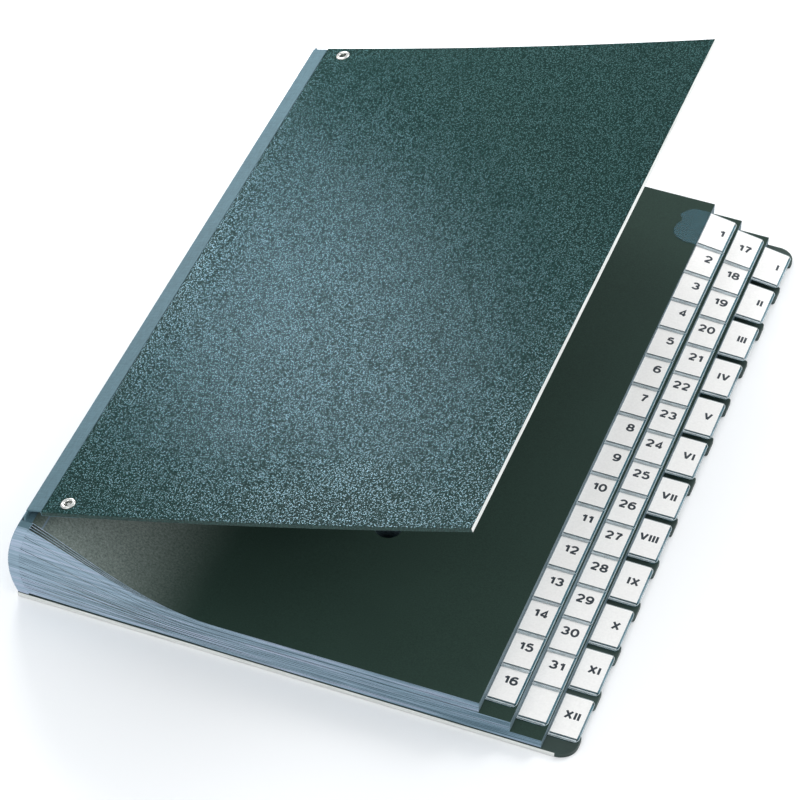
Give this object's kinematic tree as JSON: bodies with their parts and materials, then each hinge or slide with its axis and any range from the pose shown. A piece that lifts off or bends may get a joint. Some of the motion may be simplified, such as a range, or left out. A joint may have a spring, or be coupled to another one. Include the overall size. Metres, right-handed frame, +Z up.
{
  "type": "desk sorter",
  "caption": "Flat desk sorter for papers, with stepped divider leaves on a pleated spine, tabs for days and months, and a hinged front cover that opens.",
  "frame": {"origin": "under the middle of the sorter, on the surface that it lies on", "axes": "+X from the spine to the fore edge, +Y along the spine to the edge away from the reader, +Z up"},
  "size_m": [0.255, 0.34, 0.1174],
  "materials": {
    "cover_board": "grained, satin",
    "hinge_cloth": "smooth bookbinding cloth",
    "eyelet": "nickel plated",
    "back_board": "matt laminate",
    "gusset_paper": "matt",
    "divider_card": "matt",
    "index_tab": "clear film over a paper label"
  },
  "bodies": {
    "sorter": {"back_board": "back_board", "spine_gusset": "gusset_paper", "month_leaves": "divider_card", "day_leaves_lower": "divider_card", "day_leaves_upper": "divider_card", "day_tab_01": "index_tab", "day_tab_02": "index_tab", "day_tab_03": "index_tab", "day_tab_04": "index_tab", "day_tab_05": "index_tab", "day_tab_06": "index_tab", "day_tab_07": "index_tab", "day_tab_08": "index_tab", "day_tab_09": "index_tab", "day_tab_10": "index_tab", "day_tab_11": "index_tab", "day_tab_12": "index_tab", "day_tab_13": "index_tab", "day_tab_14": "index_tab", "day_tab_15": "index_tab", "day_tab_16": "index_tab", "day_tab_17": "index_tab", "day_tab_18": "index_tab", "day_tab_19": "index_tab", "day_tab_20": "index_tab", "day_tab_21": "index_tab", "day_tab_22": "index_tab", "day_tab_23": "index_tab", "day_tab_24": "index_tab", "day_tab_25": "index_tab", "day_tab_26": "index_tab", "day_tab_27": "index_tab", "day_tab_28": "index_tab", "day_tab_29": "index_tab", "day_tab_30": "index_tab", "day_tab_31": "index_tab", "spare_tab": "index_tab", "month_tab_01": "index_tab", "month_tab_02": "index_tab", "month_tab_03": "index_tab", "month_tab_04": "index_tab", "month_tab_05": "index_tab", "month_tab_06": "index_tab", "month_tab_07": "index_tab", "month_tab_08": "index_tab", "month_tab_09": "index_tab", "month_tab_10": "index_tab", "month_tab_11": "index_tab", "month_tab_12": "index_tab"},
    "cover": {"front_cover": "cover_board", "hinge_strip": "hinge_cloth", "cover_eyelet_front": "eyelet", "cover_eyelet_back": "eyelet"}
  },
  "joints": [
    {"name": "cover_hinge", "type": "hinge", "parent": "sorter", "child": "cover", "pos_m": [-0.11848, 0, 0.0514], "axis": [0, -1, 0], "range_deg": [-27, 174]}
  ]
}
